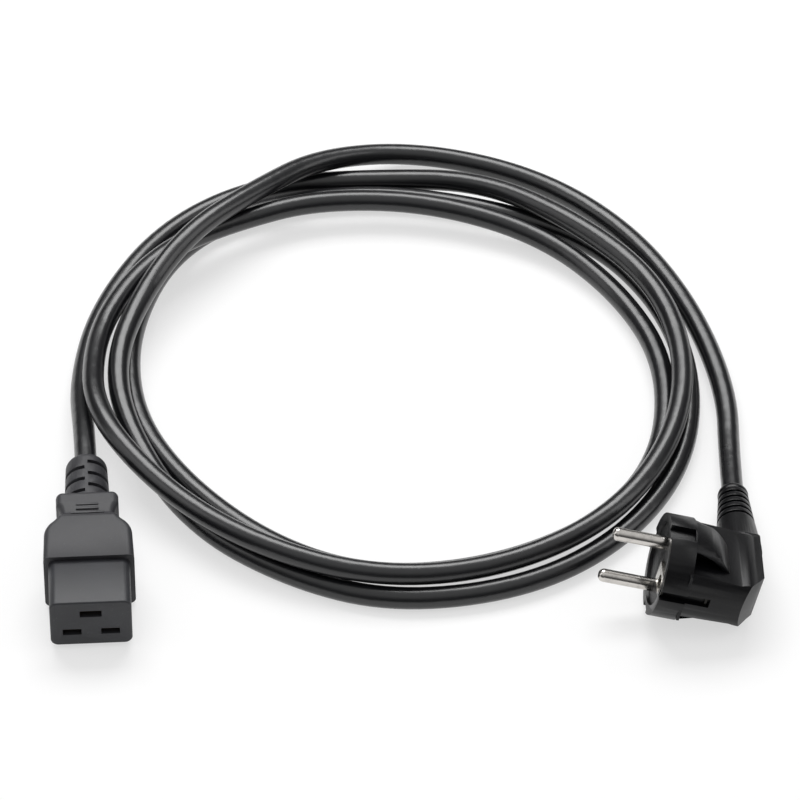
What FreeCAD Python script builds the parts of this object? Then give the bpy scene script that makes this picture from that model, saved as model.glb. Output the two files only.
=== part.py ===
import FreeCAD, Part
import math
import os

import Sketcher
from FreeCAD import Placement, Rotation, Vector

# Power extension cord: a right-angle plug with two round pins and side earth contacts, about
# two and a half metres of round sheathed cord lying in loose turns, and a high-current
# appliance connector with three flat contacts.
#
# Millimetres, +Z up. The origin lies under the middle of the connector, on the surface that
# the cord rests on. The connector's mating face looks along -Y and its cord leaves along +Y.
# The plug is modelled in a frame of its own (+X into the plug from its face, +Y along the
# cord that leaves it, pins side by side along Z) and is then placed as it lies.

doc = FreeCAD.newDocument("power_extension_cord")


# The driving dimensions, as plain numbers on a sheet
sheet = doc.addObject("Spreadsheet::Sheet", "dims")
DIMENSIONS = [
    ("cord_diameter", 8.0, "sheathed cord"),
    ("core_diameter", 2.5, "insulated core inside the sheath"),
    ("core_ring", 1.7, "from the cord's axis to a core's axis where the sheath ends"),
    ("front", -40.25, "Y of the connector's mating face"),
    ("axis_height", 12.2, "connector's axis above the surface"),
    ("nose_width", 29.0, "part of the connector that enters the inlet"),
    ("nose_height", 20.8, ""),
    ("nose_length", 21.5, ""),
    ("nose_corner", 2.8, "corner radius of the nose"),
    ("tang_width", 26.0, "rear of the carrier, held in the moulding"),
    ("tang_height", 18.0, ""),
    ("tang_length", 6.0, ""),
    ("tang_corner", 2.0, ""),
    ("cap_thickness", 3.5, "plate that closes the carrier's rear"),
    ("mouth_wall", 2.5, "front wall that the slots go through"),
    ("earth_slot_width", 7.7, ""),
    ("earth_slot_height", 2.9, ""),
    ("earth_slot_rise", 4.7, "above the connector's axis"),
    ("live_slot_width", 6.6, "line and neutral"),
    ("live_slot_height", 2.7, ""),
    ("live_slot_drop", 4.0, "below the connector's axis"),
    ("live_slot_side", 6.8, "to each side of the middle"),
    ("chamber_extra_width", 0.4, "contact chamber beyond its slot"),
    ("chamber_extra_height", 0.9, ""),
    ("sheet_metal", 0.5, "thickness of the connector's contacts"),
    ("contact_setback", 0.5, "from the front wall to the contact"),
    ("barrel_diameter", 3.4, "crimp barrel"),
    ("barrel_length", 7.5, ""),
    ("hood_width", 32.3, "moulded hood, at its front"),
    ("hood_height", 24.4, ""),
    ("hood_taper_width", 31.5, "where the side curves start"),
    ("hood_side_straight", 12.3, "from the hood's front to the side curves"),
    ("hood_side_curve", 13.9, "length of the side curves"),
    ("hood_top_straight", 20.2, "from the hood's front to the top's curve"),
    ("hood_top_curve", 6.0, "length of the top's curve"),
    ("waist_width", 19.4, ""),
    ("waist_height", 17.6, ""),
    ("neck_width", 22.4, "flange behind the waist"),
    ("neck_height", 18.6, ""),
    ("neck_start", 30.4, "from the hood's front"),
    ("neck_end", 36.6, "from the hood's front"),
    ("neck_round", 2.4, "rounding of the flange's rear edge"),
    ("hood_round", 2.3, "rounding of the hood's long edges"),
    ("neck_end_drop", 1.1, "how far the flange's top falls at its rear"),
    ("grip_height", 0.5, "small grip ridges on the neck"),
    ("grip_thickness", 0.9, ""),
    ("grip_long", 11.8, "width of the front ridge"),
    ("grip_short", 8.0, "width of the two behind it"),
    ("grip_first", 25.3, "from the hood's front"),
    ("grip_pitch", 2.1, ""),
    ("relief_base", 16.6, "diameter of the connector's strain relief"),
    ("relief_tip", 15.1, ""),
    ("relief_mouth", 8.6, ""),
    ("relief_length", 22.4, ""),
    ("relief_round", 3.4, "rounding of its end"),
    ("slit_width", 1.7, "slots that let the strain relief bend"),
    ("slit_floor", 5.0, "radius that the slots reach down to"),
    ("slit_pitch", 6.1, ""),
    ("slit_first_right", 4.3, "from the strain relief's start"),
    ("slit_first_left", 1.3, ""),
    ("slit_angle", 82.0, "how far round each slot goes, in degrees"),
    ("sheath_in", 20.0, "length of sheath inside each strain relief"),
    ("flange_diameter", 37.0, "plug's front flange"),
    ("flange_depth", 9.5, ""),
    ("insert_diameter", 30.0, "pin carrier in the plug's face"),
    ("insert_recess", 1.0, ""),
    ("insert_depth", 9.0, ""),
    ("pin_diameter", 4.8, ""),
    ("pin_length", 19.0, "in front of the flange"),
    ("pin_spread", 9.5, "each pin from the middle"),
    ("pin_shank", 4.2, "diameter of the pin inside the carrier"),
    ("pin_tip", 1.6, "length of the pin's rounded tip"),
    ("pin_tip_round", 2.2, "its radius"),
    ("pin_tip_inset", 1.2, ""),
    ("pin_collar", 6.0, "diameter of the collar behind the carrier"),
    ("pin_collar_length", 1.3, ""),
    ("pin_barrel", 3.2, "diameter of the pin's crimp barrel"),
    ("pin_barrel_length", 2.5, ""),
    ("earth_hole", 4.9, "bore for the socket's earth pin"),
    ("earth_offset", 10.0, "from the middle to that bore"),
    ("earth_tube", 6.4, "outer diameter of the earth socket"),
    ("earth_depth", 15.6, "depth of the bore"),
    ("strap_metal", 0.8, "thickness of the earth strap"),
    ("strap_width", 3.2, "its legs"),
    ("strap_edge", 0.7, "height of the leg that lies along the long slot's upper wall"),
    ("strap_face_width", 7.6, "its plate on the face"),
    ("slot_width", 3.6, "side slots over the strap's legs"),
    ("slot_length", 18.0, ""),
    ("slot_floor", 15.6, "from the plug's middle"),
    ("body_front_width", 19.4, "plug body across its flats, at the flange"),
    ("body_width", 16.2, "and at its back"),
    ("body_radius", 17.8, "its round lower end"),
    ("body_rear", 16.4, "its end on the cord's side"),
    ("column_at", 31.0, "from the plug's face to the axis of its cord"),
    ("column_diameter", 18.4, "round column that leads into the strain relief"),
    ("column_foot", 17.6, "from the plug's middle to the column's lower end"),
    ("column_top", 14.8, "along the cord from the plug's middle"),
    ("grip_back", 36.5, "from the plug's face to the flat back"),
    ("grip_plate", 17.2, "width of the plate along the back"),
    ("grip_top", 17.0, "its end on the cord's side"),
    ("facet_top", -7.9, "where the slanted facet leaves the back"),
    ("cone_start", 17.2, "along the cord from the plug's middle"),
    ("cone_diameter", 16.8, ""),
    ("rings_start", 30.4, ""),
    ("rings_end", 47.6, ""),
    ("plug_relief_end", 51.0, ""),
    ("cone_tip_diameter", 14.0, "where the ringed part starts"),
    ("rings_tip_diameter", 11.0, ""),
    ("ring_groove", 1.3, "width of each ring groove"),
    ("ring_depth", 1.0, ""),
    ("ring_count", 5, ""),
    ("gusset_reach", 17.8, "arched webs over the pin tails, from the middle at the flange"),
    ("gusset_end", 24.0, "from the plug's face"),
    ("gusset_low", -9.8, "along the cord's direction"),
    ("gusset_high", 6.4, ""),
    ("gusset_arch", 22.0, "radius of the webs' arch"),
    ("grip_wall", 1.3, "rim round the finger pockets"),
    ("grip_depth", 5.2, "depth of the finger pockets"),
    ("notch_width", 5.6, "guide notches in the flange"),
    ("notch_depth", 2.2, ""),
    ("notch_side", -3.6, "from the middle, away from the cord"),
    ("plug_x", 201.1, "where the plug's face centre lies"),
    ("plug_y", -29.7, ""),
    ("plug_z", 20.3, ""),
    ("plug_yaw", -3.79, "how it lies, in degrees"),
    ("plug_pitch", 14.56, ""),
    ("plug_roll", -7.22, ""),
]
for row, (alias, number, meaning) in enumerate(DIMENSIONS, start=1):
    sheet.set("A%d" % row, alias)
    sheet.set("B%d" % row, str(number))
    sheet.setAlias("B%d" % row, alias)
    sheet.set("C%d" % row, meaning)
doc.recompute()


def value(formula):
    """The number that a formula on the sheet gives."""
    return float(sheet.evalExpression(formula))


# Sketches and features
def origin_plane(body, role):
    for feature in body.Origin.OriginFeatures:
        if feature.Role == role:
            return feature


def new_body(name):
    body = doc.addObject("PartDesign::Body", name)
    body.Label = name
    return body


def new_sketch(body, name, role, shift=("0", "0", "0"), turn=0.0):
    """A sketch on one of the body's origin planes, shifted along its own axes and turned
    about its own upright axis."""
    sketch = body.newObject("Sketcher::SketchObject", name)
    sketch.AttachmentSupport = [(origin_plane(body, role), "")]
    sketch.MapMode = "FlatFace"
    sketch.AttachmentOffset = Placement(Vector(), Rotation(Vector(0, 1, 0), turn))
    for axis, formula in zip("xyz", shift):
        sketch.setExpression("AttachmentOffset.Base.%s" % axis, formula)
    return sketch


def arc_between(start, finish, radius):
    """The short arc from start to finish: counter-clockwise, or clockwise for a negative radius."""
    if radius < 0:
        start, finish = finish, start
    chord = finish - start
    left = Vector(-chord.y, chord.x, 0).normalize()
    lift = math.sqrt(max(radius * radius - chord.Length ** 2 / 4, 0.0))
    centre = (start + finish) * 0.5 + left * lift
    begin = math.atan2(start.y - centre.y, start.x - centre.x)
    end = math.atan2(finish.y - centre.y, finish.x - centre.x)
    circle = Part.Circle(centre, Vector(0, 0, 1), abs(radius))
    return Part.ArcOfCircle(circle, begin, end)


def pin_point(sketch, geometry, point, across, up):
    """Hold one point of a sketch at two formulas from its origin."""
    for kind, axis, formula in (("DistanceX", -2, across), ("DistanceY", -1, up)):
        if abs(value(formula)) < 1e-9:
            sketch.addConstraint(Sketcher.Constraint("PointOnObject", geometry, point, axis))
            continue
        number = sketch.addConstraint(
            Sketcher.Constraint(kind, -1, 1, geometry, point, value(formula)))
        sketch.setExpression("Constraints[%d]" % number, formula)


def draw(sketch, corners):
    """Draw a closed outline through corners of two formulas each. A third formula is the
    radius of the arc that leads on from the corner, negative where it turns clockwise."""
    places = [Vector(value(corner[0]), value(corner[1]), 0) for corner in corners]
    first = sketch.GeometryCount
    count = len(corners)
    ends = []
    for index, corner in enumerate(corners):
        start = places[index]
        finish = places[(index + 1) % count]
        if len(corner) == 2:
            sketch.addGeometry(Part.LineSegment(start, finish), False)
            ends.append((1, 2))
        else:
            radius = value(corner[2])
            sketch.addGeometry(arc_between(start, finish, radius), False)
            ends.append((1, 2) if radius > 0 else (2, 1))
    for index, corner in enumerate(corners):
        following = (index + 1) % count
        sketch.addConstraint(Sketcher.Constraint(
            "Coincident", first + index, ends[index][1], first + following, ends[following][0]))
        pin_point(sketch, first + index, ends[index][0], corner[0], corner[1])
        if len(corner) == 3:
            number = sketch.addConstraint(Sketcher.Constraint(
                "Radius", first + index, abs(value(corner[2]))))
            sketch.setExpression("Constraints[%d]" % number, "abs(%s)" % corner[2])
    return sketch


def draw_box(sketch, across, up, width, height):
    """A rectangle round a centre."""
    left = "%s - (%s) / 2" % (across, width)
    right = "%s + (%s) / 2" % (across, width)
    low = "%s - (%s) / 2" % (up, height)
    high = "%s + (%s) / 2" % (up, height)
    return draw(sketch, [(left, low), (right, low), (right, high), (left, high)])


def draw_rounded_box(sketch, across, up, width, height, corner):
    """A rectangle with round corners round a centre."""
    left = "%s - (%s) / 2" % (across, width)
    right = "%s + (%s) / 2" % (across, width)
    low = "%s - (%s) / 2" % (up, height)
    high = "%s + (%s) / 2" % (up, height)
    return draw(sketch, [
        (left + " + " + corner, low),
        (right + " - " + corner, low, corner),
        (right, low + " + " + corner),
        (right, high + " - " + corner, corner),
        (right + " - " + corner, high),
        (left + " + " + corner, high, corner),
        (left, high + " - " + corner),
        (left, low + " + " + corner, corner),
    ])


def draw_circle(sketch, across, up, diameter):
    number = sketch.addGeometry(
        Part.Circle(Vector(value(across), value(up), 0), Vector(0, 0, 1), value(diameter) / 2))
    pin_point(sketch, number, 3, across, up)
    limit = sketch.addConstraint(Sketcher.Constraint("Diameter", number, value(diameter)))
    sketch.setExpression("Constraints[%d]" % limit, diameter)
    return sketch


def extrude(kind, body, sketch, length, reverse=False, both_ways=False):
    feature = body.newObject("PartDesign::" + kind, sketch.Name + "_" + kind.lower())
    feature.Profile = sketch
    feature.setExpression("Length", length)
    feature.Reversed = reverse
    if both_ways:
        feature.SideType = "Symmetric"
    doc.recompute()
    return feature


def pad(body, sketch, length, reverse=False, both_ways=False):
    return extrude("Pad", body, sketch, length, reverse, both_ways)


def pocket(body, sketch, length, reverse=False, both_ways=False):
    """A cut that has to take something away."""
    before = body.Tip.Shape.Volume
    feature = extrude("Pocket", body, sketch, length, reverse, both_ways)
    if feature.Shape.Volume > before - 1e-3:
        raise RuntimeError(sketch.Name + " cuts nothing")
    return feature


def revolve(body, sketch, axis, angle="360", groove=False):
    kind = "Groove" if groove else "Revolution"
    feature = body.newObject("PartDesign::" + kind, sketch.Name + "_" + kind.lower())
    feature.Profile = sketch
    feature.ReferenceAxis = (sketch, [axis])
    feature.setExpression("Angle", angle)
    feature.Midplane = angle != "360"
    doc.recompute()
    return feature


def repeat_along(body, feature, role, length, count):
    pattern = body.newObject("PartDesign::LinearPattern", feature.Name + "_row")
    pattern.Originals = [feature]
    pattern.Direction = (origin_plane(body, role), [""])
    pattern.setExpression("Length", length)
    pattern.setExpression("Occurrences", count)
    body.Tip = pattern
    doc.recompute()
    return pattern


def fillet(body, radius, wanted, name):
    """Round the edges of the body's tip whose middles pass a test."""
    base = body.Tip
    names = []
    for number, edge in enumerate(base.Shape.Edges, start=1):
        middle = edge.valueAt((edge.FirstParameter + edge.LastParameter) / 2)
        if wanted(middle, edge):
            names.append("Edge%d" % number)
    feature = body.newObject("PartDesign::Fillet", name)
    feature.Base = (base, names)
    feature.setExpression("Radius", radius)
    doc.recompute()
    return feature


def moulded_round(form, pieces, name):
    """A moulding with the room that its inner pieces fill cut out of it."""
    inside = doc.addObject("Part::MultiFuse", name + "_inside")
    inside.Shapes = pieces
    moulding = doc.addObject("Part::Cut", name)
    moulding.Base = form
    moulding.Tool = inside
    moulding.Label = name
    doc.recompute()
    return moulding


# Routes of straight runs joined by tangent arcs
def rounded_route(points):
    """The wire through a list of points, and the radii of its arcs. Each arc takes 0.45 of
    the shorter of the two runs beside it."""
    edges = []
    radii = []
    leave = points[0]
    for before, corner, after in zip(points, points[1:], points[2:]):
        back = before - corner
        ahead = after - corner
        reach = 0.45 * min(back.Length, ahead.Length)
        back.normalize()
        ahead.normalize()
        half_turn = (math.pi - back.getAngle(ahead)) / 2
        radius = reach / math.tan(half_turn)
        inward = (back + ahead).normalize()
        middle = corner + inward * (radius / math.cos(half_turn) - radius)
        arrive = corner + back * reach
        edges.append(Part.LineSegment(leave, arrive).toShape())
        leave = corner + ahead * reach
        edges.append(Part.Arc(arrive, middle, leave).toShape())
        radii.append(radius)
    edges.append(Part.LineSegment(leave, points[-1]).toShape())
    return Part.Wire(edges), radii


def swept_round(name, points, diameter):
    """A solid of round section along a route, its volume held to section times length."""
    wire, radii = rounded_route(points)
    start = points[0]
    direction = points[1] - points[0]
    circle = Part.makeCircle(diameter / 2, start, direction)
    solid = wire.makePipeShell([Part.Wire([circle])], True, False)
    expected = math.pi * diameter ** 2 / 4 * wire.Length
    if abs(solid.Volume / expected - 1) > 0.01:
        raise RuntimeError(name + " lost its section")
    feature = doc.addObject("Part::Feature", name)
    feature.Shape = solid
    feature.Label = name
    return feature, radii, wire.Length


# Places along the connector, as formulas
NOSE_END = "dims.front + dims.nose_length"
TANG_END = NOSE_END + " + dims.tang_length"
CAP_END = TANG_END + " + dims.cap_thickness"
NECK_END = NOSE_END + " + dims.neck_end"
RELIEF_END = NECK_END + " + dims.relief_length"
SHEATH_START = RELIEF_END + " - dims.sheath_in"

# The three ways of the connector: name, side of its slot, height, width and height of the slot
WAYS = [
    ("earth", "0", "dims.axis_height + dims.earth_slot_rise",
     "dims.earth_slot_width", "dims.earth_slot_height"),
    ("line", "dims.live_slot_side", "dims.axis_height - dims.live_slot_drop",
     "dims.live_slot_width", "dims.live_slot_height"),
    ("neutral", "-dims.live_slot_side", "dims.axis_height - dims.live_slot_drop",
     "dims.live_slot_width", "dims.live_slot_height"),
]


def across_y(body, name, place):
    """A sketch square to Y at a place along it: its x is X and its y is Z."""
    return new_sketch(body, name, "XZ_Plane", ("0", "0", "-(%s)" % place))


# Connector: the carrier with its nose, slots and contact chambers
def connector_nose():
    body = new_body("connector_nose")
    nose = across_y(body, "nose_section", NOSE_END)
    draw_rounded_box(nose, "0", "dims.axis_height", "dims.nose_width", "dims.nose_height",
                     "dims.nose_corner")
    pad(body, nose, "dims.nose_length")
    fillet(body, "0.7", lambda middle, edge: middle.y < value("dims.front") + 0.01, "nose_rim")
    tang = across_y(body, "tang_section", NOSE_END)
    draw_rounded_box(tang, "0", "dims.axis_height", "dims.tang_width", "dims.tang_height",
                     "dims.tang_corner")
    pad(body, tang, "dims.tang_length", reverse=True)
    for way, side, height, width, thickness in WAYS:
        slot = across_y(body, way + "_slot", "dims.front")
        draw_box(slot, side, height, width, thickness)
        pocket(body, slot, "dims.mouth_wall", reverse=False)
        chamber = across_y(body, way + "_chamber", TANG_END)
        draw_box(chamber, side, height, width + " + dims.chamber_extra_width",
                 thickness + " + dims.chamber_extra_height")
        pocket(body, chamber, "dims.nose_length + dims.tang_length - dims.mouth_wall",
               reverse=True)
    return body


def tang_room():
    """The tang without its chambers, as a tool for the room that it takes in the moulding."""
    body = new_body("connector_tang_room")
    block = across_y(body, "tang_room_section", NOSE_END)
    draw_rounded_box(block, "0", "dims.axis_height", "dims.tang_width", "dims.tang_height",
                     "dims.tang_corner")
    pad(body, block, "dims.tang_length", reverse=True)
    return body


# Connector: the plate that closes the carrier behind the contacts
def connector_rear_cap():
    body = new_body("connector_rear_cap")
    plate = across_y(body, "cap_section", TANG_END)
    draw_rounded_box(plate, "0", "dims.axis_height", "dims.tang_width", "dims.tang_height",
                     "dims.tang_corner")
    for way, side, height, width, thickness in WAYS:
        draw_circle(plate, side, height, "dims.barrel_diameter")
    pad(body, plate, "dims.cap_thickness", reverse=True)
    return body


# Connector: a folded contact, open at the front, with a crimp barrel behind
def connector_contact(way, side, height, width, thickness):
    body = new_body("connector_%s_contact" % way)
    wide = width + " + dims.chamber_extra_width"
    high = thickness + " + dims.chamber_extra_height"
    length = "dims.nose_length + dims.tang_length - dims.mouth_wall - dims.contact_setback"
    sleeve = across_y(body, way + "_sleeve", TANG_END)
    draw_box(sleeve, side, height, wide, high)
    pad(body, sleeve, length)
    mouth = across_y(body, way + "_mouth", TANG_END + " - dims.sheet_metal * 2")
    draw_box(mouth, side, height, wide + " - 2 * dims.sheet_metal",
             high + " - 2 * dims.sheet_metal")
    pocket(body, mouth, length, reverse=False)
    barrel = across_y(body, way + "_barrel", TANG_END)
    draw_circle(barrel, side, height, "dims.barrel_diameter")
    pad(body, barrel, "dims.barrel_length", reverse=True)
    return body


# Connector: the outer form of its moulding, before the inner pieces are cut out of it
def hood_form():
    body = new_body("connector_hood_form")
    front = NOSE_END
    curve_start = front + " + dims.hood_side_straight"
    curve_end = curve_start + " + dims.hood_side_curve"
    curve_middle = curve_start + " + dims.hood_side_curve / 2"
    narrowing = "(dims.hood_taper_width - dims.waist_width) / 2"
    side_bend = "((dims.hood_side_curve^2 + (%s)^2) / (4 * %s))" % (narrowing, narrowing)
    flare = "(dims.neck_width - dims.waist_width) / 2"
    flare_length = "(dims.neck_start - dims.hood_side_straight - dims.hood_side_curve)"
    flare_bend = "((%s)^2 + (%s)^2) / (2 * %s)" % (flare_length, flare, flare)
    half_middle = "(dims.hood_taper_width + dims.waist_width) / 4"
    neck_square = NECK_END + " - dims.neck_round"
    rear_half = "(dims.neck_width / 2 - dims.neck_round)"
    plan = new_sketch(body, "hood_plan", "XY_Plane")
    draw(plan, [
        ("-dims.hood_width / 2", front),
        ("dims.hood_width / 2", front),
        ("dims.hood_taper_width / 2", curve_start, side_bend),
        (half_middle, curve_middle, "-" + side_bend),
        ("dims.waist_width / 2", curve_end, "-(%s)" % flare_bend),
        ("dims.neck_width / 2", front + " + dims.neck_start"),
        ("dims.neck_width / 2", neck_square, "dims.neck_round"),
        (rear_half, NECK_END),
        ("-" + rear_half, NECK_END, "dims.neck_round"),
        ("-dims.neck_width / 2", neck_square),
        ("-dims.neck_width / 2", front + " + dims.neck_start", "-(%s)" % flare_bend),
        ("-dims.waist_width / 2", curve_end, "-" + side_bend),
        ("-" + half_middle, curve_middle, side_bend),
        ("-dims.hood_taper_width / 2", curve_start),
    ])
    pad(body, plan, "dims.hood_height")
    top_start = front + " + dims.hood_top_straight"
    top_end = top_start + " + dims.hood_top_curve"
    top_middle = top_start + " + dims.hood_top_curve / 2"
    drop = "(dims.hood_height - dims.waist_height) / 2"
    top_bend = "((dims.hood_top_curve^2 + (%s)^2) / (4 * %s))" % (drop, drop)
    waist_top = "dims.axis_height + dims.waist_height / 2"
    neck_top = "dims.axis_height + dims.neck_height / 2"
    above = "dims.hood_height + 1"
    end_drop = "dims.neck_end_drop"
    end_bend = "((dims.neck_round)^2 + (%s)^2) / (2 * %s)" % (end_drop, end_drop)
    outline = [
        (top_start, "dims.hood_height", "-" + top_bend),
        (top_middle, "dims.hood_height - %s / 2" % drop, top_bend),
        (top_end, waist_top),
        (front + " + dims.neck_start", neck_top),
        (neck_square, neck_top, "-(%s)" % end_bend),
        (NECK_END, neck_top + " - " + end_drop),
        (NECK_END + " + 1", neck_top + " - " + end_drop),
        (NECK_END + " + 1", above),
        (top_start, above),
    ]
    over = new_sketch(body, "above_the_hood", "YZ_Plane")
    draw(over, outline)
    pocket(body, over, "dims.hood_width * 2", both_ways=True)
    under = new_sketch(body, "below_the_hood", "YZ_Plane")
    mirrored = []
    for index, corner in enumerate(outline):
        low = "2 * dims.axis_height - (%s)" % corner[1]
        if len(corner) == 3:
            flipped = corner[2][1:] if corner[2].startswith("-") else "-(%s)" % corner[2]
            mirrored.append((corner[0], low, flipped))
        else:
            mirrored.append((corner[0], low))
    draw(under, mirrored)
    pocket(body, under, "dims.hood_width * 2", both_ways=True)

    def long_edge(middle, edge):
        behind_front = value(front) + 0.05 < middle.y < value(NECK_END) - 0.05
        away = abs(middle.z - value("dims.axis_height")) > 7.0
        box = edge.BoundBox
        upright = box.ZLength > box.YLength and box.ZLength > box.XLength
        crossing = box.XLength > 2 * abs(middle.x) + 1
        return behind_front and away and not upright and not crossing

    fillet(body, "dims.hood_round", long_edge, "hood_long_edges")
    grips = new_sketch(body, "grips", "XY_Plane", ("0", "0", waist_top + " - dims.grip_height"))
    for number, width in enumerate(("dims.grip_long", "dims.grip_short", "dims.grip_short")):
        along = "%s + dims.grip_first + %d * dims.grip_pitch" % (front, number)
        draw_box(grips, "0", along, width, "dims.grip_thickness")
    pad(body, grips, "2.3 * dims.grip_height")
    relief = new_sketch(body, "relief_profile", "XY_Plane", ("0", "0", "dims.axis_height"))
    tip = "dims.relief_tip / 2"
    mouth = "dims.relief_mouth / 2"
    round_start = RELIEF_END + " - dims.relief_round"
    draw(relief, [
        ("0", NECK_END + " - 2"),
        ("dims.relief_base / 2", NECK_END + " - 2"),
        ("dims.relief_base / 2", NECK_END),
        (tip, round_start, "dims.relief_round"),
        (mouth, RELIEF_END),
        ("0", RELIEF_END),
    ])
    revolve(body, relief, "V_Axis")
    quarters = [
        ("right_top", -45.0, "dims.slit_first_right"),
        ("right_bottom", 45.0, "dims.slit_first_right"),
        ("left_top", -135.0, "dims.slit_first_left"),
        ("left_bottom", 135.0, "dims.slit_first_left"),
    ]
    for quarter, turn, first in quarters:
        slit = new_sketch(body, "slit_" + quarter, "XY_Plane", ("0", "0", "dims.axis_height"),
                          turn)
        draw_box(slit, "dims.slit_floor + 3", "%s + %s" % (NECK_END, first), "6",
                 "dims.slit_width")
        groove = revolve(body, slit, "V_Axis", "dims.slit_angle", groove=True)
        repeat_along(body, groove, "Y_Axis", "2 * dims.slit_pitch", "3")
    return body


def core_seat(index, clockwise=1):
    """Where a core lies round the cord's axis, across the cord: one of three."""
    angle = math.radians(90 + clockwise * 120 * index)
    ring = value("dims.core_ring")
    return ring * math.cos(angle), ring * math.sin(angle)


def connector_cores():
    """The three cores, from their crimp barrels to the end of the sheath."""
    cores = []
    start = value(TANG_END + " + dims.barrel_length")
    finish = value(SHEATH_START)
    seats = {"earth": core_seat(0), "neutral": core_seat(1), "line": core_seat(2)}
    for way, side, height, width, thickness in WAYS:
        across, up = seats[way]
        up += value("dims.axis_height")
        points = [
            Vector(value(side), start, value(height)),
            Vector(value(side), start + 4, value(height)),
            Vector(across, finish - 5, up),
            Vector(across, finish, up),
        ]
        core, radii, length = swept_round(
            "connector_%s_core" % way, points, value("dims.core_diameter"))
        cores.append(core)
    return cores


# Plug: everything in the plug's own frame, then placed
PLUG = Placement(
    Vector(value("dims.plug_x"), value("dims.plug_y"), value("dims.plug_z")),
    Rotation(value("dims.plug_yaw"), value("dims.plug_pitch"), value("dims.plug_roll")))


def place(feature):
    """Put a piece of the plug where it lies, by the sheet."""
    feature.Placement = PLUG
    for axis in "xyz":
        feature.setExpression("Placement.Base.%s" % axis, "dims.plug_%s" % axis)
    return feature


def plug_pin(name, side):
    body = new_body(name)
    back = "dims.insert_recess + dims.insert_depth"
    collar_end = back + " + dims.pin_collar_length"
    profile = new_sketch(body, name + "_profile", "XY_Plane")
    draw(profile, [
        ("-dims.pin_length", "0"),
        (collar_end + " + dims.pin_barrel_length", "0"),
        (collar_end + " + dims.pin_barrel_length", "dims.pin_barrel / 2"),
        (collar_end, "dims.pin_barrel / 2"),
        (collar_end, "dims.pin_collar / 2"),
        (back, "dims.pin_collar / 2"),
        (back, "dims.pin_shank / 2"),
        ("dims.insert_recess", "dims.pin_shank / 2"),
        ("dims.insert_recess", "dims.pin_diameter / 2"),
        ("dims.pin_tip - dims.pin_length", "dims.pin_diameter / 2", "dims.pin_tip_round"),
        ("-dims.pin_length", "dims.pin_diameter / 2 - dims.pin_tip_inset"),
    ])
    revolve(body, profile, "H_Axis")
    body.Placement = PLUG.multiply(Placement(Vector(0, 0, side * value("dims.pin_spread")),
                                             Rotation()))
    return body


def plug_face_insert():
    body = new_body("plug_face_insert")
    disc = new_sketch(body, "insert_disc", "YZ_Plane", ("0", "0", "dims.insert_recess"))
    draw_circle(disc, "0", "0", "dims.insert_diameter")
    draw_circle(disc, "0", "dims.pin_spread", "dims.pin_shank")
    draw_circle(disc, "0", "-dims.pin_spread", "dims.pin_shank")
    draw_circle(disc, "-dims.earth_offset", "0", "dims.earth_tube")
    pad(body, disc, "dims.insert_depth")
    return place(body)


def plug_earth_socket():
    """The closed tube that takes the wall socket's earth pin."""
    body = new_body("plug_earth_socket")
    front = "dims.insert_recess"
    tube = new_sketch(body, "earth_tube_section", "YZ_Plane", ("0", "0", front))
    draw_circle(tube, "-dims.earth_offset", "0", "dims.earth_tube")
    pad(body, tube, "dims.earth_depth + 0.8 - " + front)
    bore = new_sketch(body, "earth_bore", "YZ_Plane", ("0", "0", front))
    draw_circle(bore, "-dims.earth_offset", "0", "dims.earth_hole")
    pocket(body, bore, "dims.earth_depth - " + front, reverse=True)
    return place(body)


def earth_bore_room():
    """The way to the earth socket, as a tool that keeps the moulding out of it."""
    room = doc.addObject("Part::Cylinder", "plug_earth_bore_room")
    room.setExpression("Radius", "dims.earth_hole / 2")
    room.setExpression("Height", "dims.earth_depth")
    room.Placement = PLUG.multiply(Placement(Vector(0, -value("dims.earth_offset"), 0),
                                             Rotation(Vector(0, 0, 1), Vector(1, 0, 0))))
    return room


def plug_earth_strap():
    """Folded strip: a plate on the face, a leg in each side slot and a bar behind that carries
    the earth socket and the earth core's crimp barrel."""
    body = new_body("plug_earth_strap")
    metal = "dims.strap_metal"
    face = "dims.insert_recess - dims.strap_metal"
    low_leg = "-(dims.slot_floor + 0.2)"
    high_leg = "dims.insert_diameter / 2"
    bar = "dims.earth_depth + 0.8"
    band = new_sketch(body, "strap_band", "XY_Plane")
    draw(band, [
        (face, low_leg + " - " + metal),
        (bar + " + " + metal, low_leg + " - " + metal),
        (bar + " + " + metal, high_leg + " + " + metal),
        ("dims.insert_recess", high_leg + " + " + metal),
        ("dims.insert_recess", high_leg),
        (bar, high_leg),
        (bar, low_leg),
        ("dims.insert_recess", low_leg),
        ("dims.insert_recess", "-12"),
        (face, "-12"),
    ])
    pad(body, band, "dims.strap_width", both_ways=True)
    plate = new_sketch(body, "strap_plate", "YZ_Plane", ("0", "0", face))
    draw_box(plate, "-8.6", "0", "11.2", "dims.strap_face_width")
    pad(body, plate, metal)
    hole = new_sketch(body, "strap_hole", "YZ_Plane", ("0", "0", face))
    draw_circle(hole, "-dims.earth_offset", "0", "dims.earth_hole")
    pocket(body, hole, metal, reverse=True)
    edge = new_sketch(body, "strap_leg_edge", "YZ_Plane", ("0", "0", "dims.insert_recess"))
    draw_box(edge, low_leg + " - %s / 2" % metal, "-dims.strap_edge",
             "2 * " + metal, "dims.strap_width")
    pocket(body, edge, bar + " - dims.insert_recess", reverse=True)
    barrel = new_sketch(body, "earth_barrel", "YZ_Plane", ("0", "0", bar + " + " + metal))
    draw_circle(barrel, "0", "0", "dims.barrel_diameter")
    pad(body, barrel, "4")
    return place(body)


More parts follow.
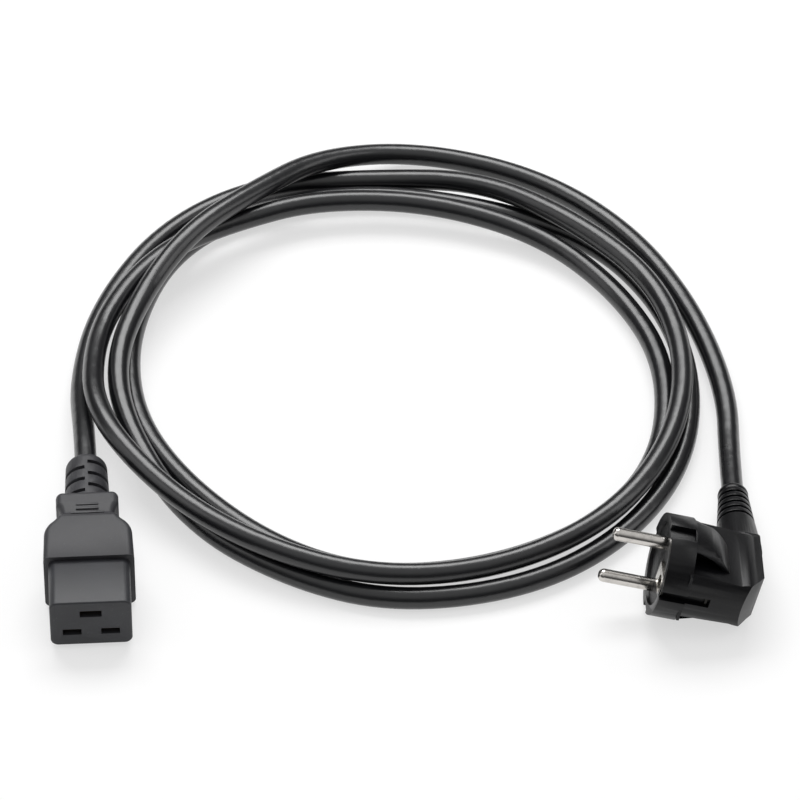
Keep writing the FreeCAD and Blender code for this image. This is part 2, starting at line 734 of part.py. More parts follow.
def plug_form():
    """The plug's moulding, before the inner pieces are cut out of it."""
    body = new_body("plug_body_form")
    flange = new_sketch(body, "flange_disc", "YZ_Plane")
    draw_circle(flange, "0", "0", "dims.flange_diameter")
    pad(body, flange, "dims.flange_depth")
    inside = "dims.flange_depth - 1"
    half = "dims.body_width / 2"
    plug_webs(body, half)
    block = new_sketch(body, "body_section", "XZ_Plane", ("0", "0", "-dims.body_rear"))
    draw(block, [
        (inside, "-dims.body_front_width / 2"),
        ("dims.grip_back", "-" + half),
        ("dims.grip_back", half),
        (inside, "dims.body_front_width / 2"),
    ])
    pad(body, block, "dims.body_rear + dims.body_radius")
    plate = new_sketch(body, "grip_plate", "XY_Plane")
    draw(plate, [
        ("dims.column_at", "-dims.column_foot"),
        ("dims.grip_back", "-dims.column_foot"),
        ("dims.grip_back", "dims.grip_top - 1", "1"),
        ("dims.grip_back - 1", "dims.grip_top"),
        ("dims.column_at", "dims.grip_top"),
    ])
    pad(body, plate, "dims.grip_plate", both_ways=True)
    column = new_sketch(body, "column_profile", "XY_Plane", ("dims.column_at", "0", "0"))
    draw(column, [
        ("0", "-dims.column_foot"),
        ("dims.column_diameter / 2", "-dims.column_foot"),
        ("dims.column_diameter / 2", "dims.column_top"),
        ("dims.cone_diameter / 2", "dims.cone_start"),
        ("0", "dims.cone_start"),
    ])
    revolve(body, column, "V_Axis")
    wide = "(dims.body_front_width / 2 + 1)"
    reach = "sqrt(dims.body_radius^2 - %s^2)" % wide
    foot = new_sketch(body, "round_foot", "YZ_Plane", ("0", "0", "dims.flange_depth"))
    draw(foot, [
        ("-" + reach, wide, "dims.body_radius"),
        ("-" + reach, "-" + wide),
        ("-dims.flange_diameter", "-" + wide),
        ("-dims.flange_diameter", wide),
    ])
    pocket(body, foot, "dims.flange_diameter", reverse=True)
    back = new_sketch(body, "back_cut", "XY_Plane")
    draw(back, [
        ("dims.grip_back", "-dims.flange_diameter"),
        ("dims.grip_back + 10", "-dims.flange_diameter"),
        ("dims.grip_back + 10", "dims.flange_diameter"),
        ("dims.grip_back", "dims.flange_diameter"),
    ])
    pocket(body, back, "2 * dims.flange_diameter", both_ways=True)
    facet = new_sketch(body, "facet_cut", "XY_Plane")
    draw(facet, [
        ("dims.grip_back + 3", "dims.facet_top + 4.3"),
        ("dims.grip_back - 12", "dims.facet_top - 17.2"),
        ("dims.grip_back + 4", "dims.facet_top - 17.2"),
    ])
    pocket(body, facet, "2 * dims.flange_diameter", both_ways=True)
    relief = new_sketch(body, "plug_relief_profile", "XY_Plane", ("dims.column_at", "0", "0"))
    draw(relief, [
        ("0", "dims.column_top"),
        ("dims.cone_diameter / 2", "dims.column_top"),
        ("dims.cone_diameter / 2", "dims.cone_start"),
        ("dims.cone_tip_diameter / 2", "dims.rings_start"),
        ("dims.rings_tip_diameter / 2", "dims.rings_end"),
        ("dims.rings_tip_diameter / 2 - 0.1", "dims.rings_end + 0.2", "2.6"),
        ("dims.cord_diameter / 2 + 0.3", "dims.plug_relief_end"),
        ("0", "dims.plug_relief_end"),
    ])
    revolve(body, relief, "V_Axis")
    ring = new_sketch(body, "ring_groove", "XY_Plane", ("dims.column_at", "0", "0"))
    slope = "(dims.cone_tip_diameter - dims.rings_tip_diameter) / 2"
    pitch = "(dims.rings_end - dims.rings_start) / dims.ring_count"
    for number in range(int(value("dims.ring_count"))):
        along = "dims.rings_start + 0.9 + %d * %s" % (number, pitch)
        radius = "dims.cone_tip_diameter / 2 - %d / dims.ring_count * %s" % (number, slope)
        draw_box(ring, "%s - dims.ring_depth + 1.5" % radius, along, "3", "dims.ring_groove")
    revolve(body, ring, "V_Axis", groove=True)
    for name, sign in (("upper", "1"), ("lower", "-1")):
        notch = new_sketch(body, "notch_" + name, "YZ_Plane")
        draw_box(notch, "dims.notch_side", sign + " * dims.flange_diameter / 2",
                 "dims.notch_width", "2 * dims.notch_depth")
        pocket(body, notch, "dims.flange_depth - 0.5", reverse=True)
    recess = new_sketch(body, "face_recess", "YZ_Plane")
    draw_circle(recess, "0", "0", "dims.insert_diameter")
    pocket(body, recess, "dims.insert_recess", reverse=True)
    long_slot = new_sketch(body, "long_side_slot", "YZ_Plane")
    draw_box(long_slot, "-dims.slot_floor - 3", "0", "6", "dims.slot_width")
    pocket(body, long_slot, "dims.slot_length", reverse=True)
    short_slot = new_sketch(body, "short_side_slot", "YZ_Plane")
    draw_box(short_slot, "dims.insert_diameter / 2 + dims.strap_metal + 3", "0", "6",
             "dims.slot_width")
    pocket(body, short_slot, "dims.flange_depth", reverse=True)
    return place(body)


def plug_webs(body, half):
    """An arched web over each pin's tail, hollow on the side away from the cord."""
    arch = "dims.gusset_arch"
    wall = "dims.grip_wall"
    for name, sign in (("upper", "1"), ("lower", "-1")):
        turn = "-" if sign == "1" else ""
        edge = "%s * %s" % (sign, half)
        web = new_sketch(body, "web_" + name, "XZ_Plane", ("0", "0", "-dims.gusset_high"))
        draw(web, [
            ("dims.flange_depth", "0"),
            ("dims.flange_depth", sign + " * dims.gusset_reach", turn + arch),
            ("dims.gusset_end", edge),
            ("dims.gusset_end", "0"),
        ])
        pad(body, web, "dims.gusset_high - dims.gusset_low")
        hollow = new_sketch(body, "finger_" + name, "XZ_Plane", ("0", "0", "-dims.gusset_low"))
        draw(hollow, [
            ("dims.flange_depth", edge),
            ("dims.flange_depth", "%s * (dims.gusset_reach - 2 * %s)" % (sign, wall),
             turn + arch),
            ("dims.gusset_end - 1.5 * " + wall, edge),
        ])
        pocket(body, hollow, "dims.grip_depth")
    trim = new_sketch(body, "web_trim", "XY_Plane")
    draw(trim, [
        ("dims.flange_depth", "dims.flange_diameter / 2 - 0.1"),
        ("dims.gusset_end", "dims.flange_diameter / 2 - 4.1"),
        ("dims.gusset_end", "dims.flange_diameter"),
        ("dims.flange_depth", "dims.flange_diameter"),
    ])
    revolve(body, trim, "H_Axis", groove=True)


def plug_cores():
    """Line and neutral from the pins, earth from the strap, to the end of the sheath."""
    column = value("dims.column_at")
    finish = value("dims.plug_relief_end - dims.sheath_in")
    back = value("dims.insert_recess + dims.insert_depth + dims.pin_collar_length"
                 " + dims.pin_barrel_length")
    bar = value("dims.earth_depth + 0.8 + dims.strap_metal + 4")
    ring = value("dims.core_ring")
    spread = value("dims.pin_spread")
    lean = ring * math.sin(math.radians(60))
    cores = []
    for name, sign in (("plug_line_core", 1), ("plug_neutral_core", -1)):
        points = [
            Vector(back, 0, sign * spread),
            Vector(back + 1.6, 0, sign * spread),
            Vector(27, 11, sign * 4.8),
            Vector(column + ring / 2, finish - 11, sign * lean),
            Vector(column + ring / 2, finish, sign * lean),
        ]
        core, radii, length = swept_round(name, points, value("dims.core_diameter"))
        cores.append(core)
    points = [
        Vector(bar, 0, 0),
        Vector(bar + 3, 0, 0),
        Vector(column - ring, 14, 0),
        Vector(column - ring, finish, 0),
    ]
    core, radii, length = swept_round("plug_earth_core", points, value("dims.core_diameter"))
    cores.append(core)
    for core in cores:
        core.Placement = PLUG
    return cores


# The cord's route: from inside the connector's strain relief, through three and a half loose
# turns, to the plug. Each turn lies where the one before leaves room for it, on the surface
# or across another turn.
ROUTE = [
    (0, 53, 12.2), (-2, 92, 4), (7, 133, 4), (32, 175, 4), (69, 198, 4),
    (113, 199, 4), (153, 190, 9.5), (186, 160, 14.5), (214, 126, 13), (222, 82, 12.5),
    (212, 38, 12), (186, 2, 11), (146, -18, 9.5), (102, -22, 11), (61, -6, 13),
    (28, 24, 13), (3, 63, 17), (4, 105, 12), (16, 134, 12.5), (35, 156, 13),
    (60, 171, 11), (90, 182, 10), (133, 179, 9.5), (174, 161, 7), (201, 130, 4),
    (215, 90, 4.5), (210, 43, 4), (187, 9, 4), (146, -12, 4), (101, -15, 4),
    (65, 3, 4), (34, 38, 4), (17, 76, 4), (17, 120, 4), (35, 164, 4),
    (69, 186, 4), (112, 191, 4), (155, 180, 4), (194, 160, 4), (217, 122, 4),
    (224, 79, 4), (216, 35, 4), (191, -1, 4), (155, -23, 4), (108, -28, 4),
    (71, -13, 4), (37, 16, 4), (16, 57, 10), (11, 94, 12), (23, 129, 15),
    (42, 155, 21.5), (66, 178, 19), (92, 203, 12.5), (131, 214, 4), (174, 197, 4),
    (206, 165, 4), (226, 123, 4), (236, 75, 4),
]


def cord_route():
    """The route's points. The first lies in the connector's strain relief and the last in the
    plug's, and the one before the last is where the plug's relief points at the surface."""
    points = [Vector(0, value(SHEATH_START), value("dims.axis_height"))]
    points += [Vector(*point) for point in ROUTE]
    column = value("dims.column_at")
    finish = PLUG.multVec(Vector(column, value("dims.plug_relief_end - dims.sheath_in"), 0))
    along = PLUG.Rotation.multVec(Vector(0, 1, 0))
    points.append(finish + along * ((finish.z - value("dims.cord_diameter / 2")) / -along.z))
    points.append(finish)
    return points


def sheath_room(name, start, direction, length):
    """The straight stretch of sheath inside a strain relief, as a tool for its bore."""
    room = doc.addObject("Part::Cylinder", name)
    room.setExpression("Radius", "dims.cord_diameter / 2")
    room.Height = length
    room.Placement = Placement(start, Rotation(Vector(0, 0, 1), direction))
    return room


# Build the pieces
nose = connector_nose()
rear_cap = connector_rear_cap()
contacts = [connector_contact(*way) for way in WAYS]
near_cores = connector_cores()
hood_outside = hood_form()
sheath_top = Vector(0, value(SHEATH_START), value("dims.axis_height"))
near_room = sheath_room("connector_sheath_room", sheath_top, Vector(0, 1, 0), 30)
hood = moulded_round(hood_outside, [tang_room(), rear_cap] + contacts + near_cores + [near_room],
                     "connector_hood")

pins = [plug_pin("plug_line_pin", 1), plug_pin("plug_neutral_pin", -1)]
face_insert = plug_face_insert()
earth_socket = plug_earth_socket()
earth_strap = plug_earth_strap()
far_cores = plug_cores()
plug_outside = plug_form()
far_start = PLUG.multVec(Vector(value("dims.column_at"),
                                value("dims.plug_relief_end - dims.sheath_in"), 0))
far_room = sheath_room("plug_sheath_room", far_start, PLUG.Rotation.multVec(Vector(0, 1, 0)), 30)
plug_body = moulded_round(plug_outside, pins + [face_insert, earth_socket, earth_strap]
                          + far_cores + [far_room, earth_bore_room()], "plug_body")

sheath, radii, cord_length = swept_round("cord_sheath", cord_route(), value("dims.cord_diameter"))
print("cord length %.0f mm" % cord_length)
print("arc radii, mm: " + ", ".join("%.0f" % radius for radius in radii))

doc.recompute()
for item in doc.Objects:
    if "Invalid" in item.State or "Error" in item.State:
        raise RuntimeError(item.Name + " is " + str(item.State))

nodes = [hood, nose, rear_cap] + contacts + near_cores
nodes += [plug_body, face_insert, earth_socket, earth_strap] + pins + far_cores + [sheath]
for node in nodes:
    if node.Shape.isNull() or not node.Shape.isValid() or len(node.Shape.Solids) != 1:
        raise RuntimeError("%s is not one good solid" % node.Label)

os.makedirs("parts", exist_ok=True)
for node in nodes:
    node.Shape.exportStep("parts/%s.step" % node.Label)
    box = node.Shape.BoundBox
    print("%-26s %9.1f mm3  x %.1f..%.1f  y %.1f..%.1f  z %.1f..%.1f" % (
        node.Label, node.Shape.Volume, box.XMin, box.XMax, box.YMin, box.YMax, box.ZMin, box.ZMax))
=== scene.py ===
# Finish, cord and studio for a power extension cord that lies in loose turns: a moulded
# appliance connector at one end and a right-angle plug with two round pins at the other.
# Lengths are in metres, +Z is up, and the origin lies under the middle of the connector.
import math

import bmesh
import bpy
from bpy.props import FloatProperty, FloatVectorProperty, IntProperty, PointerProperty
from bpy.types import Operator, Panel, PropertyGroup
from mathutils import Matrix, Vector


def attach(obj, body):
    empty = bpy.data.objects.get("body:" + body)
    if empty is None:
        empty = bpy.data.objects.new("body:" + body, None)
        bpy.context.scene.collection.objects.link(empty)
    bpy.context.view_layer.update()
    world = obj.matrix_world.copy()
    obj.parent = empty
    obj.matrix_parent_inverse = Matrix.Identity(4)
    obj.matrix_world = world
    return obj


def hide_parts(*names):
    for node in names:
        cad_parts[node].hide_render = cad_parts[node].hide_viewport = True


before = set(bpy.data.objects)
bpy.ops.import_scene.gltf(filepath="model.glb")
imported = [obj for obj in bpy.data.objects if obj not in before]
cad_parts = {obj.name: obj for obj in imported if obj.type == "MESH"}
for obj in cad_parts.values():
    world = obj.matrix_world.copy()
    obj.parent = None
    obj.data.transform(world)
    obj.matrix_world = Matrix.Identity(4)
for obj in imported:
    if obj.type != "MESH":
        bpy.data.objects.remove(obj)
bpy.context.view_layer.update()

bl_info = {
    "name": "Power Extension Cord",
    "version": (1, 0, 0),
    "blender": (4, 5, 0),
    "location": "View3D > Sidebar > Power Cord",
    "description": "Builds the cord, dresses the plug and the connector, and sets up the studio",
    "category": "Object",
}

MM = 0.001

# The camera, as fitted to the photograph, and the middle of the part on the floor, in metres
CAMERA_PLACE = (0.019086, -1.652054, 1.647745)
CAMERA_TARGET = (0.115906, 0.080799, 0.0)
MIDDLE = (0.115, 0.08, 0.0)

# For the finished copies: points closer than this are one, faces this close to flat are one
# face, and edges sharper than this are rounded
WELD = 0.002 * MM
FLAT_ANGLE = math.radians(0.6)
EDGE_ANGLE = math.radians(40.0)

# The cord's route in millimetres, from inside the connector's strain relief to inside the
# plug's: the control points of one smooth spline
ROUTE_MM = [
    (0, 20.25, 12.2), (0, 53, 12.2), (-2, 92, 4), (7, 133, 4), (32, 175, 4), (69, 198, 4),
    (113, 199, 4), (153, 190, 9.5), (186, 160, 14.5), (214, 126, 13), (222, 82, 12.5),
    (212, 38, 12), (186, 2, 11), (146, -18, 9.5), (102, -22, 11), (61, -6, 13),
    (28, 24, 13), (3, 63, 17), (4, 105, 12), (16, 134, 12.5), (35, 156, 13),
    (60, 171, 11), (90, 182, 10), (133, 179, 9.5), (174, 161, 7), (201, 130, 4),
    (215, 90, 4.5), (210, 43, 4), (187, 9, 4), (146, -12, 4), (101, -15, 4),
    (65, 3, 4), (34, 38, 4), (17, 76, 4), (17, 120, 4), (35, 164, 4),
    (69, 186, 4), (112, 191, 4), (155, 180, 4), (194, 160, 4), (217, 122, 4),
    (224, 79, 4), (216, 35, 4), (191, -1, 4), (155, -23, 4), (108, -28, 4),
    (71, -13, 4), (37, 16, 4), (16, 57, 10), (11, 94, 12), (23, 129, 15),
    (42, 155, 21.5), (66, 178, 19), (92, 203, 12.5), (131, 214, 4), (174, 197, 4),
    (206, 165, 4), (226, 123, 4), (236, 75, 4), (233.4, 37.7, 4), (232.1, -0.93, 8.74),
]


# Shader nodes as Python expressions
class Socket:
    """A shader output, or a plain number, that adds its Math nodes as it is calculated with."""

    def __init__(self, shader, link):
        self.shader = shader
        self.link = link

    def math(self, operation, *others):
        values = {0: self.link}
        for index, other in enumerate(others, start=1):
            values[index] = other.link if isinstance(other, Socket) else other
        return self.shader.node("ShaderNodeMath", {"operation": operation}, values)

    def __add__(self, other):
        return self.math("ADD", other)

    __radd__ = __add__

    def __mul__(self, other):
        return self.math("MULTIPLY", other)

    __rmul__ = __mul__

    def __rsub__(self, other):
        return (self * -1.0) + other

    def step(self, low, high):
        """0 below low, 1 above high, and smooth between them."""
        return self.shader.node("ShaderNodeMapRange", {"interpolation_type": "SMOOTHSTEP"},
                                {"Value": self, "From Min": low, "From Max": high})


class Shader:
    """One material's node tree."""

    def __init__(self, name, **constants):
        self.material = bpy.data.materials.new(name)
        self.material.use_nodes = True
        self.tree = self.material.node_tree
        self.surface = self.tree.nodes["Principled BSDF"]
        for socket, constant in constants.items():
            self.surface.inputs[socket.replace("_", " ")].default_value = constant

    def node(self, kind, settings=None, values=None, output=0):
        """Add a node: its settings first, then numbers or links for its sockets."""
        added = self.tree.nodes.new(kind)
        for setting, choice in (settings or {}).items():
            setattr(added, setting, choice)
        for key, given in (values or {}).items():
            if isinstance(given, Socket):
                given = given.link
            if isinstance(given, bpy.types.NodeSocket):
                self.tree.links.new(given, added.inputs[key])
            else:
                added.inputs[key].default_value = given
        return Socket(self, added.outputs[output])

    def place(self, scale=(1.0, 1.0, 1.0)):
        """Where a point lies on the piece, in metres, scaled."""
        spot = self.node("ShaderNodeTexCoord", output="Object")
        return self.node("ShaderNodeMapping", None, {"Vector": spot, "Scale": scale})

    def noise(self, size, detail=2.0, rough=0.5, where=None):
        """Noise with features of that size in millimetres."""
        return self.node("ShaderNodeTexNoise", None, {
            "Vector": where or self.place(), "Scale": 1.0 / (size * MM),
            "Detail": detail, "Roughness": rough})

    def mix(self, factor, first, second):
        """A colour between two colours."""
        return self.node("ShaderNodeMix", {"data_type": "RGBA"},
                         {"Factor": factor, 6: first, 7: second}, output=2)

    def feed(self, **links):
        for socket, link in links.items():
            self.tree.links.new(link.link, self.surface.inputs[socket.replace("_", " ")])

    def bump(self, height, depth, under=None):
        """Raise the surface by a height that goes from 0 to 1, depth being in millimetres."""
        values = {"Height": height, "Distance": depth * MM, "Strength": 1.0}
        if under is not None:
            values["Normal"] = under
        return self.node("ShaderNodeBump", None, values)


def rgb(colour):
    """A colour with full alpha."""
    return (colour[0], colour[1], colour[2], 1.0)


# Materials
def moulded_plastic(name, colour, grain, grain_depth, rough, scuff=0.08, shine=0.45):
    """Soft moulding compound from an eroded mould: fine grain, slow changes in gloss, and a
    little dust that lightens it."""
    shader = Shader(name, Specular_IOR_Level=shine)
    fine = shader.noise(grain, 4.0, 0.6)
    cloud = shader.noise(14.0, 3.0, 0.55)
    speck = shader.noise(0.9, 2.0, 0.7)
    dust = speck.step(0.62, 0.78) * scuff
    tone = shader.mix(cloud.step(0.3, 0.7), rgb([c * 0.86 for c in colour]),
                      rgb([c * 1.12 for c in colour]))
    paled = shader.mix(dust, tone, (0.30, 0.30, 0.31, 1.0))
    shader.feed(Base_Color=paled, Roughness=cloud * 0.10 + fine * 0.10 + (rough - 0.10),
                Normal=shader.bump(fine, grain_depth))
    return shader.material


def sheath_plastic(name, colour, rough):
    """Extruded sheath: glossy, with faint ripples and draw lines and slightly uneven gloss."""
    shader = Shader(name, Specular_IOR_Level=0.5, Coat_Weight=0.35, Coat_Roughness=0.2)
    ripple = shader.noise(7.0, 2.0, 0.5)
    peel = shader.noise(0.8, 3.0, 0.6)
    cloud = shader.noise(30.0, 2.0, 0.5)
    tone = shader.mix(cloud.step(0.3, 0.7), rgb([c * 0.85 for c in colour]),
                      rgb([c * 1.15 for c in colour]))
    waves = shader.bump(ripple, 0.25)
    shader.feed(Base_Color=tone, Roughness=cloud * 0.10 + peel * 0.06 + (rough - 0.08),
                Normal=shader.bump(peel, 0.012, under=waves))
    return shader.material


def plated_metal(name, colour, rough, painted_shade_from=None):
    """Nickel plate over turned or rolled brass: fine lines, a warm tint and dull patches. On
    the side beyond a given height along Y, in millimetres, it is painted nearly black: painted
    shade for the strap's leg that lies in the shadow deep in the side slot."""
    shader = Shader(name, Metallic=1.0)
    lines = shader.noise(1000.0, 3.0, 0.6, shader.place(scale=(90.0, 4000.0, 4000.0)))
    patch = shader.noise(3.0, 3.0, 0.6)
    tone = shader.mix(patch.step(0.45, 0.75), rgb(colour), rgb([c * 0.78 for c in colour]))
    if painted_shade_from is not None:
        along = shader.node("ShaderNodeSeparateXYZ", None, {"Vector": shader.place()}, output=1)
        # Painted shade: beyond this height the plate darkens to almost black, standing in for
        # the shadow inside the slot
        dull = (0.0 - along).step((-painted_shade_from - 0.4) * MM, (-painted_shade_from + 0.4) * MM)
        tone = shader.mix(dull, tone, rgb([c * 0.04 for c in colour]))
    shader.feed(Base_Color=tone, Roughness=patch * 0.16 + lines * 0.08 + (rough - 0.10),
                Normal=shader.bump(lines, 0.006))
    return shader.material


def core_insulation(name, colour, stripe=None):
    """Thin smooth insulation of one core, the earth core with its stripe."""
    shader = Shader(name, Roughness=0.38, Specular_IOR_Level=0.5)
    cloud = shader.noise(2.5, 2.0, 0.5)
    tone = shader.mix(cloud.step(0.3, 0.7), rgb([c * 0.9 for c in colour]),
                      rgb([min(1.0, c * 1.1) for c in colour]))
    if stripe:
        bands = shader.node("ShaderNodeTexWave", {"bands_direction": "X"}, {
            "Vector": shader.place(), "Scale": 110.0, "Distortion": 0.4}, output=1)
        tone = shader.mix(bands.step(0.35, 0.55), tone, rgb(stripe))
    shader.feed(Base_Color=tone, Normal=shader.bump(shader.noise(0.5, 3.0), 0.01))
    return shader.material


def dress(name, material):
    """Give a construction piece its finish."""
    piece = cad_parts[name]
    piece.data.materials.clear()
    piece.data.materials.append(material)
    return piece


def finished_copy(name, material, edge):
    """A closed copy of a construction piece, its edges broken by a small round."""
    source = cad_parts[name]
    mesh = bpy.data.meshes.new(name + "_finished")
    form = bmesh.new()
    form.from_mesh(source.data)
    bmesh.ops.remove_doubles(form, verts=form.verts, dist=WELD)
    bmesh.ops.dissolve_limit(form, angle_limit=FLAT_ANGLE, verts=form.verts,
                             edges=form.edges, delimit={"NORMAL"})
    for face in form.faces:
        face.smooth = True
    form.to_mesh(mesh)
    form.free()
    piece = bpy.data.objects.new(name + "_finished", mesh)
    bpy.context.scene.collection.objects.link(piece)
    mesh.materials.append(material)
    if edge:
        bevel = piece.modifiers.new("edge_round", "BEVEL")
        bevel.width = edge
        bevel.segments = 2
        bevel.limit_method = "ANGLE"
        bevel.angle_limit = EDGE_ANGLE
        bevel.harden_normals = True
        bevel.use_clamp_overlap = True
    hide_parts(name)
    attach(piece, "root")
    return piece


# Settings
class CordSettings(PropertyGroup):
    diameter: FloatProperty(
        name="Diameter", description="Outer diameter of the sheath", default=8.0 * MM,
        min=2.0 * MM, max=20.0 * MM, subtype="DISTANCE", unit="LENGTH")
    roughness: FloatProperty(
        name="Roughness", description="How dull the sheath is", default=0.30,
        min=0.0, max=1.0, subtype="FACTOR")
    colour: FloatVectorProperty(
        name="Colour", description="Colour of the sheath", default=(0.0045, 0.0047, 0.0060),
        size=3, min=0.0, max=1.0, subtype="COLOR")
    roundness: IntProperty(
        name="Roundness", description="Faces round a quarter of the sheath", default=7,
        min=2, max=16)


class MouldingSettings(PropertyGroup):
    connector_colour: FloatVectorProperty(
        name="Connector", description="Colour of the connector's moulding",
        default=(0.0295, 0.0296, 0.0335), size=3, min=0.0, max=1.0, subtype="COLOR")
    nose_colour: FloatVectorProperty(
        name="Nose", description="Colour of the connector's carrier",
        default=(0.0265, 0.0275, 0.0315), size=3, min=0.0, max=1.0, subtype="COLOR")
    plug_colour: FloatVectorProperty(
        name="Plug", description="Colour of the plug's moulding",
        default=(0.0026, 0.0026, 0.0034), size=3, min=0.0, max=1.0, subtype="COLOR")
    edge: FloatProperty(
        name="Edge Round", description="Radius that the mould leaves on sharp edges",
        default=0.25 * MM, min=0.0, max=1.0 * MM, subtype="DISTANCE", unit="LENGTH")


class StudioSettings(PropertyGroup):
    floor_size: FloatProperty(
        name="Floor Size", description="Side of the white floor", default=12.0,
        min=2.0, max=40.0, subtype="DISTANCE", unit="LENGTH")
    floor_glow: FloatProperty(
        name="Floor White", description="How far the floor's own white hides the shadows on it",
        default=0.60, min=0.0, max=1.0, subtype="FACTOR")
    key_power: FloatProperty(
        name="Overhead Light", description="Power of the large overhead light", default=38.0,
        min=0.0, max=500.0, subtype="POWER", unit="POWER")
    side_power: FloatProperty(
        name="Side Lights", description="Power of each light at the side", default=5.0,
        min=0.0, max=500.0, subtype="POWER", unit="POWER")
    world_low: FloatProperty(
        name="Fill Near the Horizon", description="Strength of the light from all round",
        default=0.10, min=0.0, max=2.0)
    world_high: FloatProperty(
        name="Fill Overhead", description="Strength of the light from straight above",
        default=0.75, min=0.0, max=2.0)
    lens: FloatProperty(
        name="Lens", description="Focal length on a 36 mm sensor", default=292.5,
        min=20.0, max=600.0, subtype="DISTANCE_CAMERA")


# Pieces
class POWERCORD_OT_sheath(Operator):
    """Lay the sheathed cord along its route as one smooth spline, from connector to plug"""
    bl_idname = "powercord.sheath"
    bl_label = "Sheathed Cord"

    def execute(self, context):
        settings = context.scene.power_cord
        curve = bpy.data.curves.new("cord", "CURVE")
        curve.dimensions = "3D"
        spline = curve.splines.new("NURBS")
        spline.points.add(len(ROUTE_MM) - 1)
        for point, (x, y, z) in zip(spline.points, ROUTE_MM):
            point.co = (x * MM, y * MM, z * MM, 1.0)
        spline.order_u = 3
        spline.use_endpoint_u = True
        spline.use_smooth = True
        curve.resolution_u = 10
        curve.bevel_depth = settings.diameter / 2
        curve.bevel_resolution = settings.roundness
        curve.use_fill_caps = True
        cord = bpy.data.objects.new("cord", curve)
        context.scene.collection.objects.link(cord)
        curve.materials.append(sheath_plastic("sheath", settings.colour, settings.roughness))
        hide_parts("cord_sheath")
        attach(cord, "root")
        return {"FINISHED"}


class POWERCORD_OT_connector(Operator):
    """Finish the connector's moulding, carrier, contacts and cores"""
    bl_idname = "powercord.connector"
    bl_label = "Connector"

    def execute(self, context):
        settings = context.scene.power_mouldings
        moulding = moulded_plastic("connector_moulding", settings.connector_colour, 0.12, 0.03,
                                   0.50)
        carrier = moulded_plastic("connector_carrier", settings.nose_colour, 0.10, 0.02, 0.46)
        contact = plated_metal("contact_metal", (0.30, 0.22, 0.13), 0.34)
        finished_copy("connector_hood", moulding, settings.edge)
        finished_copy("connector_nose", carrier, settings.edge)
        dress("connector_rear_cap", carrier)
        for way in ("earth", "line", "neutral"):
            dress("connector_%s_contact" % way, contact)
        dress_cores("connector")
        return {"FINISHED"}


def dress_cores(end):
    """Colour the cores of one end by the usual code: line, neutral and earth."""
    brown = core_insulation(end + "_core_brown", (0.16, 0.06, 0.03))
    blue = core_insulation(end + "_core_blue", (0.03, 0.16, 0.50))
    striped = core_insulation(end + "_core_earth", (0.06, 0.32, 0.07), (0.85, 0.72, 0.05))
    dress(end + "_line_core", brown)
    dress(end + "_neutral_core", blue)
    dress(end + "_earth_core", striped)


class POWERCORD_OT_plug(Operator):
    """Finish the plug's moulding, carrier, pins, earth strap and cores"""
    bl_idname = "powercord.plug"
    bl_label = "Plug"

    def execute(self, context):
        settings = context.scene.power_mouldings
        moulding = moulded_plastic("plug_moulding", settings.plug_colour, 0.10, 0.015, 0.34,
                                   0.04, 0.30)
        carrier = moulded_plastic("plug_carrier", settings.plug_colour, 0.35, 0.16, 0.44,
                                  0.30, 0.40)
        pin = plated_metal("pin_metal", (0.62, 0.595, 0.565), 0.13)
        # The strap's leg in the side slot is painted nearly black: painted shade for the slot's
        # shadow
        strap = plated_metal("strap_metal", (0.62, 0.60, 0.56), 0.24, painted_shade_from=-42.5)
        finished_copy("plug_body", moulding, settings.edge)
        finished_copy("plug_face_insert", carrier, settings.edge)
        dress("plug_line_pin", pin)
        dress("plug_neutral_pin", pin)
        dress("plug_earth_socket", strap)
        dress("plug_earth_strap", strap)
        dress_cores("plug")
        return {"FINISHED"}


# Studio
def turned_to(target, place):
    """The rotation that points a lamp or a camera at place to target."""
    return (Vector(target) - Vector(place)).to_track_quat("-Z", "Y").to_euler()


def area_light(name, place, size, power):
    """A soft rectangular lamp that shines on the middle of the part."""
    light = bpy.data.lights.new(name, "AREA")
    light.shape = "RECTANGLE"
    light.size = size[0]
    light.size_y = size[1]
    light.energy = power
    lamp = bpy.data.objects.new(name, light)
    lamp.location = place
    lamp.rotation_euler = turned_to(MIDDLE, place)
    bpy.context.scene.collection.objects.link(lamp)


def studio_world(low, high):
    """Light from all round, dim near the horizon and brighter overhead."""
    world = bpy.data.worlds.new("studio")
    bpy.context.scene.world = world
    world.use_nodes = True
    tree = world.node_tree
    direction = tree.nodes.new("ShaderNodeTexCoord")
    parts = tree.nodes.new("ShaderNodeSeparateXYZ")
    rise = tree.nodes.new("ShaderNodeMapRange")
    rise.interpolation_type = "SMOOTHSTEP"
    rise.inputs["From Min"].default_value = 0.35
    rise.inputs["From Max"].default_value = 0.95
    rise.inputs["To Min"].default_value = low
    rise.inputs["To Max"].default_value = high
    tree.links.new(direction.outputs["Generated"], parts.inputs[0])
    tree.links.new(parts.outputs["Z"], rise.inputs["Value"])
    tree.links.new(rise.outputs["Result"], tree.nodes["Background"].inputs["Strength"])
    tree.nodes["Background"].inputs["Color"].default_value = (1.0, 1.0, 1.0, 1.0)


def paper_material(glow):
    """White paper that looks white to the camera and in reflections, and keeps a soft part of
    the shadow that falls on it."""
    shader = Shader("floor_white", Roughness=1.0, Specular_IOR_Level=0.0,
                    Base_Color=(0.93, 0.93, 0.93, 1.0))
    path = shader.tree.nodes.new("ShaderNodeLightPath")
    seen = Socket(shader, path.outputs["Is Camera Ray"])
    shown = seen.math("MAXIMUM", Socket(shader, path.outputs["Is Glossy Ray"]))
    shown = shown.math("MAXIMUM", Socket(shader, path.outputs["Is Transmission Ray"]))
    white = shader.node("ShaderNodeEmission", None, {"Strength": 1.0})
    both = shader.node("ShaderNodeMixShader", None,
                       {0: shown * glow, 1: shader.surface.outputs[0], 2: white})
    shader.tree.links.new(both.link, shader.tree.nodes["Material Output"].inputs["Surface"])
    return shader.material


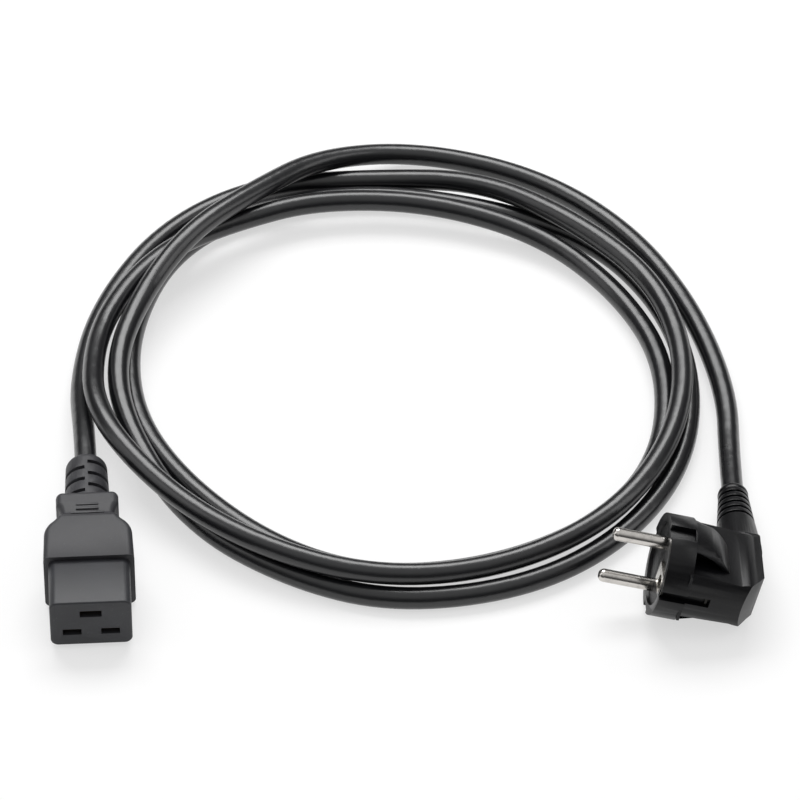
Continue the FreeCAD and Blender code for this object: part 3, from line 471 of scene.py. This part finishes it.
class POWERCORD_OT_studio(Operator):
    """Set up the white floor, the soft lights and the camera"""
    bl_idname = "powercord.studio"
    bl_label = "Studio"

    def execute(self, context):
        settings = context.scene.power_studio
        scene = context.scene
        mesh = bpy.data.meshes.new("floor")
        form = bmesh.new()
        bmesh.ops.create_grid(form, x_segments=1, y_segments=1, size=settings.floor_size / 2)
        bmesh.ops.translate(form, verts=form.verts, vec=MIDDLE)
        form.to_mesh(mesh)
        form.free()
        floor = bpy.data.objects.new("floor", mesh)
        scene.collection.objects.link(floor)
        mesh.materials.append(paper_material(settings.floor_glow))
        area_light("overhead", (0.05, 1.25, 1.75), (1.9, 1.0), settings.key_power)
        area_light("left_side", (-1.7, 0.1, 1.0), (0.9, 1.8), settings.side_power)
        area_light("right_side", (1.9, -0.1, 1.0), (0.5, 1.6), settings.side_power)
        studio_world(settings.world_low, settings.world_high)
        camera_data = bpy.data.cameras.new("camera")
        camera_data.lens = settings.lens
        camera_data.sensor_width = 36.0
        camera_data.clip_end = 30.0
        camera = bpy.data.objects.new("camera", camera_data)
        scene.collection.objects.link(camera)
        camera.location = CAMERA_PLACE
        camera.rotation_euler = turned_to(CAMERA_TARGET, CAMERA_PLACE)
        scene.camera = camera
        scene.view_settings.view_transform = "Standard"
        return {"FINISHED"}


class POWERCORD_PT_panel(Panel):
    """Lists the cord's pieces and the studio"""
    bl_label = "Power Extension Cord"
    bl_idname = "POWERCORD_PT_panel"
    bl_space_type = "VIEW_3D"
    bl_region_type = "UI"
    bl_category = "Power Cord"

    def draw(self, context):
        for group in (context.scene.power_cord, context.scene.power_mouldings,
                      context.scene.power_studio):
            box = self.layout.box()
            for name in group.__annotations__:
                box.prop(group, name)
        for step in STEPS:
            self.layout.operator(step.bl_idname)


STEPS = [POWERCORD_OT_connector, POWERCORD_OT_plug, POWERCORD_OT_sheath, POWERCORD_OT_studio]
SETTINGS = {
    "power_cord": CordSettings,
    "power_mouldings": MouldingSettings,
    "power_studio": StudioSettings,
}


def register():
    for group in SETTINGS.values():
        bpy.utils.register_class(group)
    for name, group in SETTINGS.items():
        setattr(bpy.types.Scene, name, PointerProperty(type=group))
    for step in STEPS:
        bpy.utils.register_class(step)
    bpy.utils.register_class(POWERCORD_PT_panel)


def unregister():
    bpy.utils.unregister_class(POWERCORD_PT_panel)
    for step in reversed(STEPS):
        bpy.utils.unregister_class(step)
    for name in SETTINGS:
        delattr(bpy.types.Scene, name)
    for group in SETTINGS.values():
        bpy.utils.unregister_class(group)


def main():
    register()
    bpy.ops.powercord.connector()
    bpy.ops.powercord.plug()
    bpy.ops.powercord.sheath()
    bpy.ops.powercord.studio()


if __name__ == "__main__":
    main()
